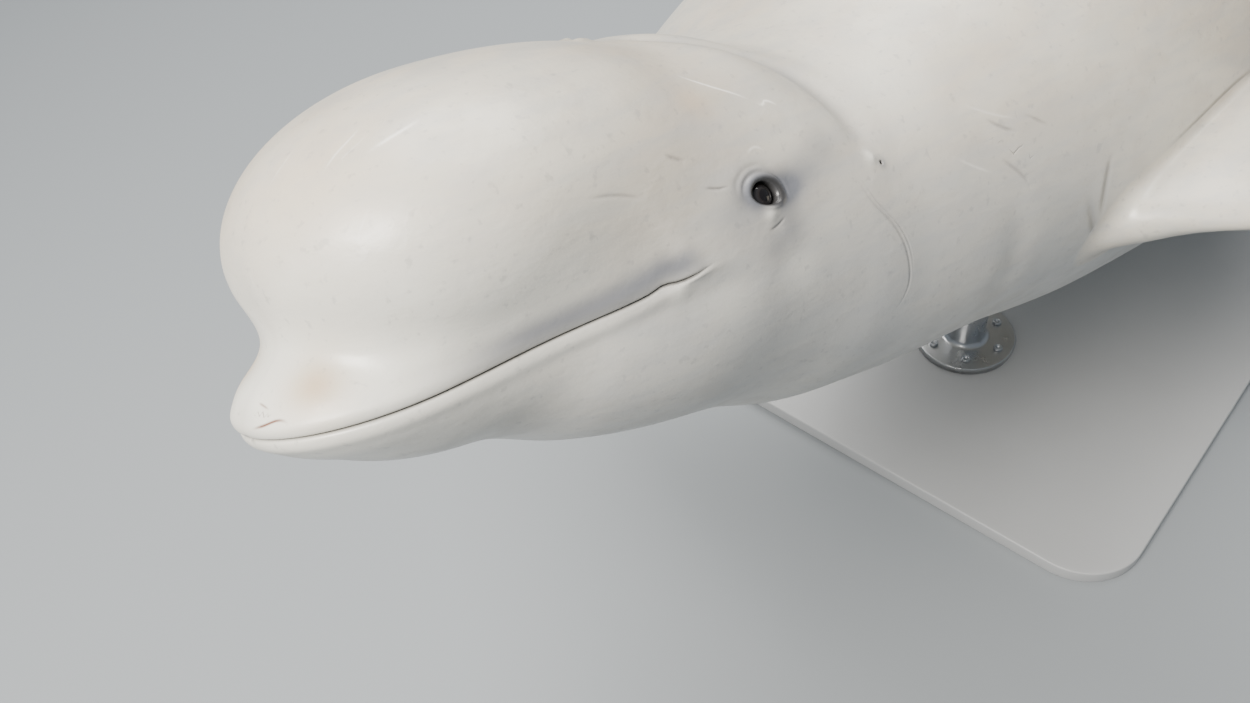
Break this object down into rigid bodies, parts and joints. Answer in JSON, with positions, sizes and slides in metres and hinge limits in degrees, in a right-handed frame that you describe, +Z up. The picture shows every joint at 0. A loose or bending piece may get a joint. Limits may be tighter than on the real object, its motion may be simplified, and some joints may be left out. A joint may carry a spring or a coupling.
{
  "type": "beluga whale model",
  "caption": "Still, life-size model of an adult beluga whale, banked with its left side and head raised, on a plain display base with short rods.",
  "frame": {"origin": "middle of the underside of the whole model's box, on the floor", "axes": "+Z up, the snout towards -X, the whale's left side towards -Y"},
  "size_m": [3.9738, 1.3414, 1.2233],
  "materials": {
    "skin": "smooth, moist, cream-white skin with faint grey mottling",
    "fin_skin": "smooth cream-white skin, greyer along the edges",
    "eye": "wet, dark brown eye",
    "stand_base": "satin light grey paint",
    "stand_rod": "brushed steel"
  },
  "bodies": {
    "root": {"head": "skin", "lower_jaw": "skin", "neck": "skin", "torso": "skin", "dorsal_ridge": "skin", "tail_stock": "skin", "fluke_left": "fin_skin", "fluke_right": "fin_skin", "flipper_left": "fin_skin", "flipper_right": "fin_skin", "eye_left": "eye", "eye_right": "eye", "stand_base": "stand_base", "stand_rod_front": "stand_rod", "stand_rod_rear": "stand_rod"}
  },
  "joints": []
}
